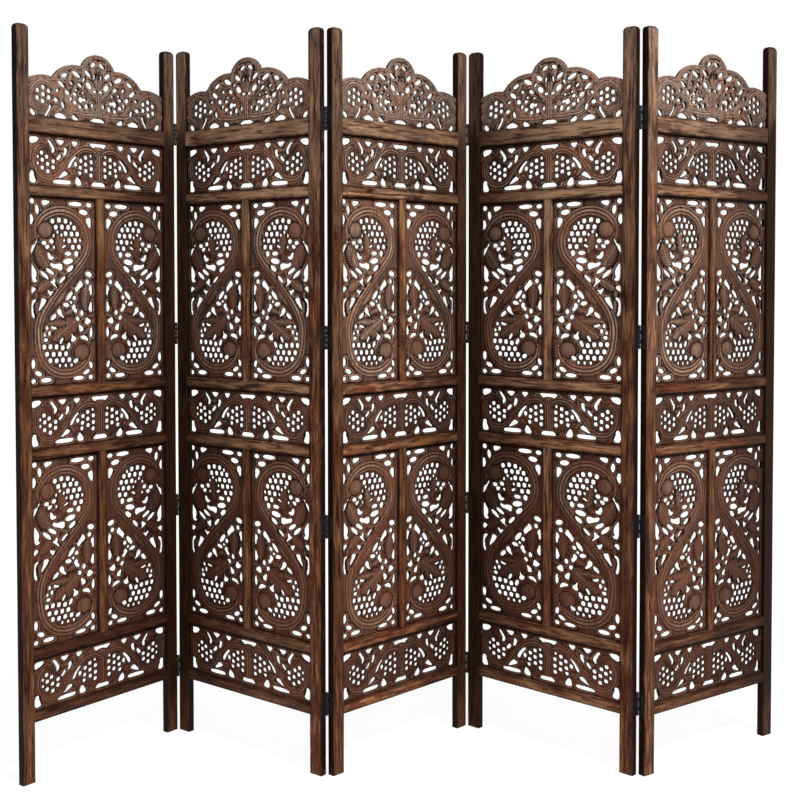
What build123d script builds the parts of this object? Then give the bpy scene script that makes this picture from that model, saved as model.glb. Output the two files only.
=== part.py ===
"""Five-panel carved jali folding screen, millimetres, +Z up, front towards -Y.

Each panel is a grooved frame of two stiles, six rails and two muntins. Eight pierced boards
float in its grooves: a lobed crest, three bands and four tall boards with a scroll. Panels are
joined by four butt hinges at each of the four joints, whose pins lie at the back of the joints
that stand nearest the front and at the front of the joints that stand furthest back.
"""

from build123d import *
import math
import os

os.makedirs("parts", exist_ok=True)

# ---- driving dimensions ----
PANEL_WIDTH = 508.0  # 20 in
SCREEN_HEIGHT = 1830.0  # 6 ft
PANEL_YAWS = (50.0, -41.0, 44.0, -45.0, 35.0)  # each panel's turn from the X axis, as it stands

STILE_WIDTH = 36.0
FRAME_THICKNESS = 19.0
STILE_TOP_RADIUS = 9.0
RAIL_HEIGHT = 26.0
TOP_RAIL_HEIGHT = 42.0
MUNTIN_WIDTH = 27.0

FOOT_HEIGHT = 145.0  # floor to the underside of the bottom rail
BAND_OPENING = 126.0
TALL_OPENING = 461.0

GROOVE_WIDTH = 8.0
RAIL_GROOVE_DEPTH = 6.0
STILE_GROOVE_DEPTH = 14.0
TENON_LENGTH = 13.0
MUNTIN_TENON_LENGTH = 5.5

BOARD_THICKNESS = 7.6
BOARD_EDGE_PLAY = 0.8
BOARD_LAP = RAIL_GROOVE_DEPTH  # what of a board's edge is hidden in a rail's groove
STILE_LAP = 8.0  # and in a stile's groove

CREST_END_HEIGHT = 82.0  # where the crest meets the stiles
CREST_GROOVE_TOP = 87.0

HINGE_HEIGHT = 58.0
HINGE_CENTRES = (175.0, 614.0, 1078.0, 1611.0)
HINGE_GAP = 3.0  # between the end faces of two panels in line
PIN_STANDOFF = 3.0  # pin's axis outside the face plane
LEAF_THICKNESS = 1.3
LEAF_DEPTH = 14.5
LEAF_SETBACK = 0.6
KNUCKLE_RADIUS = 3.0
KNUCKLE_SIDES = 6
PIN_RADIUS = 1.5  # half its width across the flats, and of the left knuckles' bore
FREE_BORE_RADIUS = 1.9  # the same of the bore that turns on the pin
KNUCKLE_PLAY = 0.4

PANEL_COUNT = len(PANEL_YAWS)
INNER_WIDTH = PANEL_WIDTH - 2 * STILE_WIDTH
TALL_WIDTH = (INNER_WIDTH - MUNTIN_WIDTH) / 2
GROOVE_FRONT = (FRAME_THICKNESS - GROOVE_WIDTH) / 2
BOARD_FRONT = (FRAME_THICKNESS - BOARD_THICKNESS) / 2


def stack_levels():
    """Rail undersides and the openings above them, from the floor up."""
    openings = (BAND_OPENING, TALL_OPENING, BAND_OPENING, TALL_OPENING, BAND_OPENING)
    rails = [FOOT_HEIGHT]
    for opening in openings:
        rails.append(rails[-1] + RAIL_HEIGHT + opening)
    return rails


RAIL_LEVELS = stack_levels()
RAIL_HEIGHTS = [RAIL_HEIGHT] * 5 + [TOP_RAIL_HEIGHT]
BAND_LEVELS = [RAIL_LEVELS[i] + RAIL_HEIGHT for i in (0, 2, 4)]
TALL_LEVELS = [RAIL_LEVELS[i] + RAIL_HEIGHT for i in (1, 3)]
CREST_LEVEL = RAIL_LEVELS[5] + TOP_RAIL_HEIGHT


# ---- how the panels stand ----
def along(yaw):
    return Vector(math.cos(math.radians(yaw)), math.sin(math.radians(yaw)), 0)


def front_normal(yaw):
    return Vector(math.sin(math.radians(yaw)), -math.cos(math.radians(yaw)), 0)


def pin_is_at_back(joint):
    """Joint 0 joins the first two panels; the second and the fourth stand nearest the front."""
    return joint % 2 == 1


def pin_offset(joint, side):
    """From a panel's front corner at the joint to the pin, in along and front units."""
    outward = HINGE_GAP / 2 if side == "right" else -HINGE_GAP / 2
    forward = -(FRAME_THICKNESS + PIN_STANDOFF) if pin_is_at_back(joint) else PIN_STANDOFF
    return outward, forward


def panel_corners():
    """The front left corner of each panel at the floor, and each joint's pin, in plan."""
    corners = [Vector(0, 0, 0)]
    pins = []
    for joint in range(PANEL_COUNT - 1):
        yaw, next_yaw = PANEL_YAWS[joint], PANEL_YAWS[joint + 1]
        outward, forward = pin_offset(joint, "right")
        pin = corners[-1] + along(yaw) * (PANEL_WIDTH + outward) + front_normal(yaw) * forward
        outward, forward = pin_offset(joint, "left")
        corners.append(pin - along(next_yaw) * outward - front_normal(next_yaw) * forward)
        pins.append(pin)
    return corners, pins


def plan_centre(corners):
    """Middle of the box around the panels' footprints."""
    points = []
    for corner, yaw in zip(corners, PANEL_YAWS):
        for u in (0, PANEL_WIDTH):
            for v in (0, -FRAME_THICKNESS):
                points.append(corner + along(yaw) * u + front_normal(yaw) * v)
    xs = [point.X for point in points]
    ys = [point.Y for point in points]
    return Vector((min(xs) + max(xs)) / 2, (min(ys) + max(ys)) / 2, 0)


CORNERS, PINS = panel_corners()
CENTRE = plan_centre(CORNERS)
CORNERS = [corner - CENTRE for corner in CORNERS]
PINS = [pin - CENTRE for pin in PINS]


def face_plane(panel, depth=0.0):
    """A panel's front face or a plane behind it: x along the panel, y up, z to the front."""
    yaw = PANEL_YAWS[panel]
    origin = CORNERS[panel] - front_normal(yaw) * depth
    return Plane(origin=origin, x_dir=along(yaw), z_dir=front_normal(yaw))


def floor_plane(panel, origin, height):
    """A level plane with its x along a panel and its y to the panel's back."""
    return Plane(origin=origin + Vector(0, 0, height), x_dir=along(PANEL_YAWS[panel]), z_dir=(0, 0, 1))


def save(part, name):
    part.label = name
    export_step(part, f"parts/{name}.step")


# ---- frame ----
def make_stile(panel, side):
    """A post with a rounded top and one stopped groove for rails and boards."""
    left = 0.0 if side == "left" else PANEL_WIDTH - STILE_WIDTH
    inner = STILE_WIDTH - STILE_GROOVE_DEPTH if side == "left" else left
    with BuildPart() as stile:
        with BuildSketch(face_plane(panel)):
            with Locations((left + STILE_WIDTH / 2, SCREEN_HEIGHT / 2)):
                Rectangle(STILE_WIDTH, SCREEN_HEIGHT)
            fillet(vertices().group_by(Axis.Y)[-1], STILE_TOP_RADIUS)
        extrude(amount=-FRAME_THICKNESS)
        groove_top = CREST_LEVEL + CREST_GROOVE_TOP
        with BuildSketch(face_plane(panel, GROOVE_FRONT)):
            with Locations((inner, FOOT_HEIGHT)):
                Rectangle(STILE_GROOVE_DEPTH, groove_top - FOOT_HEIGHT, align=Align.MIN)
        extrude(amount=-GROOVE_WIDTH, mode=Mode.SUBTRACT)
    save(stile.part, f"panel_{panel + 1}_{side}_stile")


def make_rails(panel):
    """Six rails with full-width haunched tenons and a board groove on each edge that meets a board."""
    with BuildPart() as rails:
        for index, (level, height) in enumerate(zip(RAIL_LEVELS, RAIL_HEIGHTS)):
            lower_groove = RAIL_GROOVE_DEPTH if index > 0 else 0.0
            with BuildSketch(face_plane(panel)):
                with Locations((STILE_WIDTH, level)):
                    Rectangle(INNER_WIDTH, height, align=Align.MIN)
            extrude(amount=-FRAME_THICKNESS)
            with BuildSketch(face_plane(panel, GROOVE_FRONT)):
                with Locations((STILE_WIDTH, level + height - RAIL_GROOVE_DEPTH)):
                    Rectangle(INNER_WIDTH, RAIL_GROOVE_DEPTH, align=Align.MIN)
                if lower_groove:
                    with Locations((STILE_WIDTH, level)):
                        Rectangle(INNER_WIDTH, lower_groove, align=Align.MIN)
            extrude(amount=-GROOVE_WIDTH, mode=Mode.SUBTRACT)
            with BuildSketch(face_plane(panel, GROOVE_FRONT)):
                for start in (STILE_WIDTH - TENON_LENGTH, STILE_WIDTH + INNER_WIDTH):
                    with Locations((start, level + lower_groove)):
                        tenon_height = height - RAIL_GROOVE_DEPTH - lower_groove
                        Rectangle(TENON_LENGTH, tenon_height, align=Align.MIN)
            extrude(amount=-GROOVE_WIDTH)
    save(rails.part, f"panel_{panel + 1}_rails")


def make_muntins(panel):
    """Two centre bars, grooved on both edges, with stub tenons that sit in the rails' grooves."""
    left = (PANEL_WIDTH - MUNTIN_WIDTH) / 2
    with BuildPart() as muntins:
        for level in TALL_LEVELS:
            with BuildSketch(face_plane(panel)):
                with Locations((left, level)):
                    Rectangle(MUNTIN_WIDTH, TALL_OPENING, align=Align.MIN)
            extrude(amount=-FRAME_THICKNESS)
            with BuildSketch(face_plane(panel, GROOVE_FRONT)):
                for start in (left, left + MUNTIN_WIDTH - RAIL_GROOVE_DEPTH):
                    with Locations((start, level)):
                        Rectangle(RAIL_GROOVE_DEPTH, TALL_OPENING, align=Align.MIN)
            extrude(amount=-GROOVE_WIDTH, mode=Mode.SUBTRACT)
            with BuildSketch(face_plane(panel, GROOVE_FRONT)):
                for start in (level - MUNTIN_TENON_LENGTH, level + TALL_OPENING):
                    with Locations((left + RAIL_GROOVE_DEPTH, start)):
                        tenon_width = MUNTIN_WIDTH - 2 * RAIL_GROOVE_DEPTH
                        Rectangle(tenon_width, MUNTIN_TENON_LENGTH, align=Align.MIN)
            extrude(amount=-GROOVE_WIDTH)
    save(muntins.part, f"panel_{panel + 1}_muntins")


# ---- pierced boards ----
# Piercings are drawn from a board's centre, x to the right and y up.
SCROLL_CORNERS = (
    ((-92, 221), (-50, 221), (-92, 162)),
    ((40, 221), (92, 221), (92, 162)),
    ((-92, -221), (-92, -176), (-40, -221)),
    ((92, -221), (40, -221), (92, -176)),
)
SCROLL_FIELDS = (
    ((-92, 44), (-72, 48), (-26, 4), (-40, -8)),
    ((-92, -68), (-64, -60), (-46, -104), (-84, -124)),
    ((78, 52), (92, 66), (92, 10), (78, 16)),
    ((60, -6), (92, -12), (92, -62), (84, -48)),
)
SCROLL_LATTICE = ((-15, 150), (20, -145))
SCROLL_LATTICE_HALF = 24

BAND_FIELDS = (((-142, -54), (-138, -46), (-60, -46), (-52, -54)),)
BAND_LATTICE = ((-160, -5), (-42, -2))
BAND_LATTICE_HALF = 20
BAND_TOP_SLOT = ((-29, 51), (29, 51), (16, 43), (-16, 43))
BAND_FOOT_SLOT = ((-18, -46), (18, -46), (24, -54), (-24, -54))

CREST_FIELDS = (
    ((-140, 3), (-120, 15), (-92, 3)),
    ((-81, 114), (-77, 120), (-52, 108), (-56, 102)),
)
CREST_LATTICE = ((-168, 52), (-50, 47))
CREST_LATTICE_HALF = 16
CREST_FOOT_SLOT = ((-26, 3), (26, 3), (13, 10), (-13, 10))
LOBE_SEGMENTS = 3  # straight lengths in each rise and fall of a lobe


def mirrored(points):
    return tuple((-x, y) for x, y in points)


def diamonds(centres, half):
    """Square piercings, set on their points, in place of a patch of small lattice holes."""
    corners = ((-half, 0), (0, half), (half, 0), (0, -half))
    return [tuple((x + dx, y + dy) for dx, dy in corners) for x, y in centres]


def both_halves(shapes):
    """The drawn left half with its mirror image."""
    return [half for shape in shapes for half in (shape, mirrored(shape))]


def pierce(shapes, centre):
    """Subtract the outlines from the sketch that is open."""
    for shape in shapes:
        points = [(centre[0] + x, centre[1] + y) for x, y in shape]
        Polygon(*points, align=None, mode=Mode.SUBTRACT)


def make_tall_boards(panel, level, name):
    """A mirrored pair of boards, each with one tall S scroll, left and right of the muntin."""
    scroll = list(SCROLL_CORNERS) + list(SCROLL_FIELDS) + diamonds(SCROLL_LATTICE, SCROLL_LATTICE_HALF)
    width = TALL_WIDTH + STILE_LAP + BOARD_LAP - 2 * BOARD_EDGE_PLAY
    height = TALL_OPENING + 2 * BOARD_LAP - BOARD_EDGE_PLAY
    with BuildPart() as boards:
        for side in (-1, 1):
            centre = (PANEL_WIDTH / 2 + side * (MUNTIN_WIDTH + TALL_WIDTH) / 2, level + TALL_OPENING / 2)
            plate_x = centre[0] + side * (STILE_LAP - BOARD_LAP) / 2
            shapes = scroll if side > 0 else [mirrored(shape) for shape in scroll]
            with BuildSketch(face_plane(panel, BOARD_FRONT)):
                with Locations((plate_x, level - BOARD_LAP + height / 2)):
                    Rectangle(width, height)
                pierce(shapes, centre)
            extrude(amount=-BOARD_THICKNESS)
    save(boards.part, f"panel_{panel + 1}_{name}_scroll_boards")


def make_band_boards(panel):
    """Three low boards with the same mirrored vine."""
    left_half = list(BAND_FIELDS) + diamonds(BAND_LATTICE, BAND_LATTICE_HALF)
    shapes = both_halves(left_half) + [BAND_TOP_SLOT, BAND_FOOT_SLOT]
    width = INNER_WIDTH + 2 * STILE_LAP - 2 * BOARD_EDGE_PLAY
    height = BAND_OPENING + 2 * BOARD_LAP - BOARD_EDGE_PLAY
    with BuildPart() as boards:
        for level in BAND_LEVELS:
            with BuildSketch(face_plane(panel, BOARD_FRONT)):
                with Locations((PANEL_WIDTH / 2, level - BOARD_LAP + height / 2)):
                    Rectangle(width, height)
                pierce(shapes, (PANEL_WIDTH / 2, level + BAND_OPENING / 2))
            extrude(amount=-BOARD_THICKNESS)
    save(boards.part, f"panel_{panel + 1}_band_boards")


def crest_lobe_points():
    """The five lobes' edge, from the left stile to the right one."""
    middle = PANEL_WIDTH / 2
    end = INNER_WIDTH / 2 + STILE_LAP - BOARD_EDGE_PLAY
    shoulder = CREST_LEVEL + CREST_END_HEIGHT
    lobes = ((-end, 0), (-166, 19), (-144, 17), (-110, 45), (-53, 54), (-34, 78), (0, 88))
    left = [Vector(middle + x, shoulder + y, 0) for x, y in lobes]
    outline = []
    for start in (0, 2, 4):
        arc = Edge.make_three_point_arc(*left[start : start + 3])
        outline += [arc @ (step / LOBE_SEGMENTS) for step in range(LOBE_SEGMENTS)]
    half = [(point.X, point.Y) for point in outline]
    peak = [(middle, shoulder + lobes[-1][1])]
    return half + peak + [(2 * middle - x, y) for x, y in reversed(half)]


def make_crest(panel):
    """The lobed top board, held by the top rail and the tops of both stiles' grooves."""
    left_half = list(CREST_FIELDS) + diamonds(CREST_LATTICE, CREST_LATTICE_HALF)
    shapes = both_halves(left_half) + [CREST_FOOT_SLOT]
    lobes = crest_lobe_points()
    foot = CREST_LEVEL - BOARD_LAP
    with BuildPart() as crest:
        with BuildSketch(face_plane(panel, BOARD_FRONT)):
            with BuildLine():
                Polyline(*lobes, (lobes[-1][0], foot), (lobes[0][0], foot), close=True)
            make_face()
            pierce(shapes, (PANEL_WIDTH / 2, CREST_LEVEL))
        extrude(amount=-BOARD_THICKNESS)
    save(crest.part, f"panel_{panel + 1}_crest_board")


# ---- hinges ----
KNUCKLE_HEIGHT = HINGE_HEIGHT / 3


def make_leaves(joint, side):
    """Four leaves on a panel's end face: the left panel's has two knuckles, the right's has one."""
    panel = joint if side == "left" else joint + 1
    slots = (0, 2) if side == "left" else (1,)
    bore = PIN_RADIUS if side == "left" else FREE_BORE_RADIUS
    inward = -1 if side == "left" else 1  # from the pin towards the leaf's own panel
    back = 1 if not pin_is_at_back(joint) else -1  # from the pin towards the panel's body
    leaf_face = inward * HINGE_GAP / 2
    leaf_x = leaf_face - inward * LEAF_THICKNESS / 2
    plate_start = PIN_STANDOFF + LEAF_SETBACK
    with BuildPart() as leaves:
        for centre in HINGE_CENTRES:
            foot = centre - HINGE_HEIGHT / 2
            with BuildSketch(floor_plane(panel, PINS[joint], foot)):
                with Locations((leaf_x, back * (plate_start + LEAF_DEPTH / 2))):
                    Rectangle(LEAF_THICKNESS, LEAF_DEPTH)
            extrude(amount=HINGE_HEIGHT)
            for slot in slots:
                low = foot + slot * KNUCKLE_HEIGHT + (KNUCKLE_PLAY / 2 if slot else 0)
                play = KNUCKLE_PLAY if slot == 1 else KNUCKLE_PLAY / 2
                with BuildSketch(floor_plane(panel, PINS[joint], low)):
                    with Locations((leaf_x, back * plate_start / 2)):
                        Rectangle(LEAF_THICKNESS, plate_start)
                    RegularPolygon(KNUCKLE_RADIUS, KNUCKLE_SIDES)
                    if side == "right":
                        outer_corner = vertices().sort_by(Axis.X)[0]
                        fillet(outer_corner, KNUCKLE_RADIUS * math.cos(math.pi / KNUCKLE_SIDES))
                    RegularPolygon(bore, KNUCKLE_SIDES, major_radius=False, mode=Mode.SUBTRACT)
                extrude(amount=KNUCKLE_HEIGHT - play)
    save(leaves.part, f"hinge_{joint + 1}_{joint + 2}_{side}_leaves")


def make_pins(joint):
    """Four pins, tight in the left leaves' knuckles and free in the right leaves'."""
    with BuildPart() as pins:
        for centre in HINGE_CENTRES:
            with BuildSketch(floor_plane(joint, PINS[joint], centre - HINGE_HEIGHT / 2)):
                RegularPolygon(PIN_RADIUS, KNUCKLE_SIDES, major_radius=False)
            extrude(amount=HINGE_HEIGHT)
    save(pins.part, f"hinge_{joint + 1}_{joint + 2}_pins")


for number in range(PANEL_COUNT):
    make_stile(number, "left")
    make_stile(number, "right")
    make_rails(number)
    make_muntins(number)
    make_crest(number)
    make_band_boards(number)
    make_tall_boards(number, TALL_LEVELS[1], "upper")
    make_tall_boards(number, TALL_LEVELS[0], "lower")

for number in range(PANEL_COUNT - 1):
    make_leaves(number, "left")
    make_leaves(number, "right")
    make_pins(number)

for number, pin in enumerate(PINS):
    print(f"joint {number + 1}-{number + 2}: pin at x {pin.X:.3f}, y {pin.Y:.3f}")
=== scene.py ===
import cmath
import math

import bpy
import numpy as np
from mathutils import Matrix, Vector


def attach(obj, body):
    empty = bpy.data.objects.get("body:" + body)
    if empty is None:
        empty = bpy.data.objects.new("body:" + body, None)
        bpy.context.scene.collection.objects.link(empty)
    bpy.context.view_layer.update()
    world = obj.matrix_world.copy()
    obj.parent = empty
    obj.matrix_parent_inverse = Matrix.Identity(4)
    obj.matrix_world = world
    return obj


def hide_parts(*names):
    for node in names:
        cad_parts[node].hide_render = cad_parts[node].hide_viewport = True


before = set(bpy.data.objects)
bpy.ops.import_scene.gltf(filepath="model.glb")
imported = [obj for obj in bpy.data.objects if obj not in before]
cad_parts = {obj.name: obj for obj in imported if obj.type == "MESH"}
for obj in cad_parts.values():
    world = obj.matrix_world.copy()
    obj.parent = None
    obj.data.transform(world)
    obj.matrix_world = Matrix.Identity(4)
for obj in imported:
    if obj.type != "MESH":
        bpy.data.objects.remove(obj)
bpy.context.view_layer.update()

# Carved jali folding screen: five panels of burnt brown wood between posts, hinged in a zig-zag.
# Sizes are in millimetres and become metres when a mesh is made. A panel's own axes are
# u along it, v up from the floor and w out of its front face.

MM = 0.001
SEED = 41

# ---- the frame, as it is in the CAD ----
PANEL_WIDTH = 508.0
SCREEN_HEIGHT = 1830.0
PANEL_YAWS = (50.0, -41.0, 44.0, -45.0, 35.0)
STILE_WIDTH = 36.0
FRAME_THICKNESS = 19.0
STILE_TOP_RADIUS = 9.0
RAIL_HEIGHT = 26.0
TOP_RAIL_HEIGHT = 42.0
MUNTIN_WIDTH = 27.0
FOOT_HEIGHT = 145.0
BAND_OPENING = 126.0
TALL_OPENING = 461.0
BOARD_THICKNESS = 7.6
BOARD_LAP = 3.0
MIDDLE_DEPTH = -FRAME_THICKNESS / 2

HINGE_HEIGHT = 58.0
HINGE_CENTRES = (175.0, 614.0, 1078.0, 1611.0)
HINGE_GAP = 3.0
PIN_STANDOFF = 3.0
PIN_RADIUS = 1.5
PIN_HEAD = 2.0
LEAF_THICKNESS = 1.3
LEAF_DEPTH = 14.5
LEAF_SETBACK = 0.6
LEAF_EDGE = 0.35
KNUCKLE_RADIUS = 2.9
KNUCKLE_COUNT = 5
KNUCKLE_PLAY = 0.5
KNUCKLE_EASING = 0.14  # share of the radius lost at a knuckle's ends
WRAP_LAP = 0.5  # of a knuckle's wrap over its leaf
SCREWS_PER_LEAF = 3
SCREW_RADIUS = 2.3
SCREW_RISE = 0.14
SCREW_DEPTHS = (0.42, 0.62)  # shares of the leaf's depth, for the outer screws and the middle one

INNER_WIDTH = PANEL_WIDTH - 2 * STILE_WIDTH
TALL_WIDTH = (INNER_WIDTH - MUNTIN_WIDTH) / 2
OPENINGS = (BAND_OPENING, TALL_OPENING, BAND_OPENING, TALL_OPENING, BAND_OPENING)
RAIL_LEVELS = [FOOT_HEIGHT + sum(OPENINGS[:i]) + RAIL_HEIGHT * i for i in range(6)]
RAIL_HEIGHTS = [RAIL_HEIGHT] * 5 + [TOP_RAIL_HEIGHT]
BAND_LEVELS = [RAIL_LEVELS[i] + RAIL_HEIGHT for i in (0, 2, 4)]
TALL_LEVELS = {"lower": RAIL_LEVELS[1] + RAIL_HEIGHT, "upper": RAIL_LEVELS[3] + RAIL_HEIGHT}
CREST_LEVEL = RAIL_LEVELS[5] + TOP_RAIL_HEIGHT


# ---- how the panels stand ----
def along(yaw):
    return np.array([math.cos(math.radians(yaw)), math.sin(math.radians(yaw))])


def outward(yaw):
    return np.array([math.sin(math.radians(yaw)), -math.cos(math.radians(yaw))])


def pin_offset(joint, yaw, end):
    """From a panel's front corner at the joint to the pin; end is 1 for its right end, -1 for its left."""
    forward = -(FRAME_THICKNESS + PIN_STANDOFF) if joint % 2 else PIN_STANDOFF
    return along(yaw) * end * HINGE_GAP / 2 + outward(yaw) * forward


def stand_panels():
    """Each panel's front left corner and each joint's pin, in plan."""
    corners, pins = [np.zeros(2)], []
    for joint, (yaw, next_yaw) in enumerate(zip(PANEL_YAWS, PANEL_YAWS[1:])):
        pins.append(corners[-1] + along(yaw) * PANEL_WIDTH + pin_offset(joint, yaw, 1))
        corners.append(pins[-1] - pin_offset(joint, next_yaw, -1))
    ends = [
        corner + along(yaw) * u - outward(yaw) * w
        for corner, yaw in zip(corners, PANEL_YAWS)
        for u in (0, PANEL_WIDTH)
        for w in (0, FRAME_THICKNESS)
    ]
    centre = (np.min(ends, axis=0) + np.max(ends, axis=0)) / 2
    return [corner - centre for corner in corners], [pin - centre for pin in pins]


CORNERS, PINS = stand_panels()


def placed(points, origin, yaw):
    """Points in a panel's own u, v, w millimetres as frame metres."""
    points = np.asarray(points, float)
    plan = origin + points[:, :1] * along(yaw) + points[:, 2:] * outward(yaw)
    return np.column_stack([plan, points[:, 1]]) * MM


# ---- meshes and objects ----
SMOOTH_ANGLE = math.radians(40)


def gathered(name, forms, origin, yaw):
    """One mesh from forms, each of them points, faces and a tone for each point."""
    points, faces, tones, count = [], [], [], 0
    for form_points, form_faces, form_tones in forms:
        points.append(np.asarray(form_points, float))
        tones.append(np.asarray(form_tones, float))
        faces += [tuple(int(i) + count for i in face) for face in form_faces]
        count += len(form_points)
    mesh = bpy.data.meshes.new(name)
    mesh.from_pydata(placed(np.vstack(points), origin, yaw).tolist(), [], faces)
    tone = mesh.attributes.new("tone", "FLOAT", "POINT")
    tone.data.foreach_set("value", np.concatenate(tones).astype(np.float32))
    mesh.update()
    return mesh


def show(name, data):
    """A new object in the scene."""
    holder = bpy.data.objects.new(name, data)
    bpy.context.scene.collection.objects.link(holder)
    return holder


def finish_piece(mesh, body, node):
    """The finished object, riding a body in place of a CAD node."""
    mesh.polygons.foreach_set("use_smooth", [True] * len(mesh.polygons))
    mesh.set_sharp_from_angle(angle=SMOOTH_ANGLE)
    piece = show(mesh.name, mesh)
    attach(piece, body)
    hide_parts(node)


def wooden_piece(number, label, node, wood, forms):
    """One of a panel's pieces of wood."""
    body = f"panel_{number + 1}"
    mesh = gathered(f"{body}_{label}", forms, CORNERS[number], PANEL_YAWS[number])
    mesh.materials.append(wood)
    finish_piece(mesh, body, f"{body}_{node}")


# ---- drawing on a board ----
CORNER_CUT = 0.22
PATH_STEPS = 10  # between two points of a smoothed path


def rounded_outline(points):
    """Copy of a closed outline with its corners cut twice."""
    for _ in range(2):
        following = np.roll(points, -1, axis=0)
        near, far = 1 - CORNER_CUT, CORNER_CUT
        pair = np.stack([points * near + following * far, points * far + following * near], axis=1)
        points = pair.reshape(-1, 2)
    return points


def smooth_path(points):
    """Catmull-Rom curve through the points of an open path."""
    ends = np.vstack([2 * points[0] - points[1], points, 2 * points[-1] - points[-2]])
    t = np.linspace(0, 1, PATH_STEPS, endpoint=False)[:, None]
    spans = []
    for a, b, c, d in zip(ends[:-3], ends[1:-2], ends[2:-1], ends[3:]):
        square, cube = 2 * a - 5 * b + 4 * c - d, 3 * b - a - 3 * c + d
        spans.append(0.5 * (2 * b + (c - a) * t + square * t**2 + cube * t**3))
    return np.vstack(spans + [points[-1:]])


def distance_to_path(x, y, path, closed=False):
    starts = path if closed else path[:-1]
    stops = np.roll(path, -1, axis=0) if closed else path[1:]
    best = np.full(x.shape, 1e9)
    for (ax, ay), (bx, by) in zip(starts, stops):
        dx, dy = bx - ax, by - ay
        square = dx**2 + dy**2
        if square:
            t = np.clip(((x - ax) * dx + (y - ay) * dy) / square, 0, 1)
            best = np.minimum(best, np.hypot(x - ax - t * dx, y - ay - t * dy))
    return best


def depth_inside(x, y, outline):
    """Distance to a closed outline, negative outside it."""
    inside = np.zeros(x.shape, bool)
    for (ax, ay), (bx, by) in zip(outline, np.roll(outline, -1, axis=0)):
        if ay != by:
            inside ^= ((ay > y) != (by > y)) & (x < (bx - ax) * (y - ay) / (by - ay) + ax)
    gap = distance_to_path(x, y, outline, closed=True)
    return np.where(inside, gap, -gap)


def hump(value, middle, width):
    """1 at the middle, falling smoothly to almost nothing two widths away."""
    return np.exp(-(((value - middle) / width) ** 2))


GRID_STEP = 2.5
SOLID_DEPTH = 50.0  # stands for wood far from any opening
OPENING_MARGIN = 6.0  # how far round an opening the grid is worked
OPENING_GROWTH = 0.6  # added all round what is drawn
HOLE_SQUARENESS = 2.7
HOLE_REACH = 14.0
SINK_RADIUS, SINK_SLOPE = 13.0, 4.0  # of the ground carved down round a lattice hole
LEAST = 1e-6  # keeps a divisor off zero

# levels from the board's own face
GROUND_LEVEL = -1.2
LATTICE_LEVEL = -1.9
RIM_LEVEL = -2.3
RAISED_RIM_LEVEL = -1.3
LEAF_CROWN = 1.7
KNOB_CROWN = 3.2

# distances across the board; the rim, the lip and the line lie round each opening
VEIN_SPACING = 7.5
RIM_FADE = 3.4
LIP_PLACE, LIP_WIDTH = 3.1, 1.5
LINE_PLACE, LINE_WIDTH = 6.2, 1.4

# how far the painted shadow reaches from the stiles, the rail below and the rail above
SIDE_SHADOW_REACH = 4.0
FOOT_SHADOW_REACH = 3.5
RAIL_SHADOW_REACH = 11.0
OPEN_SHADOW_REACH = 0.1  # where there is no rail above


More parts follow.
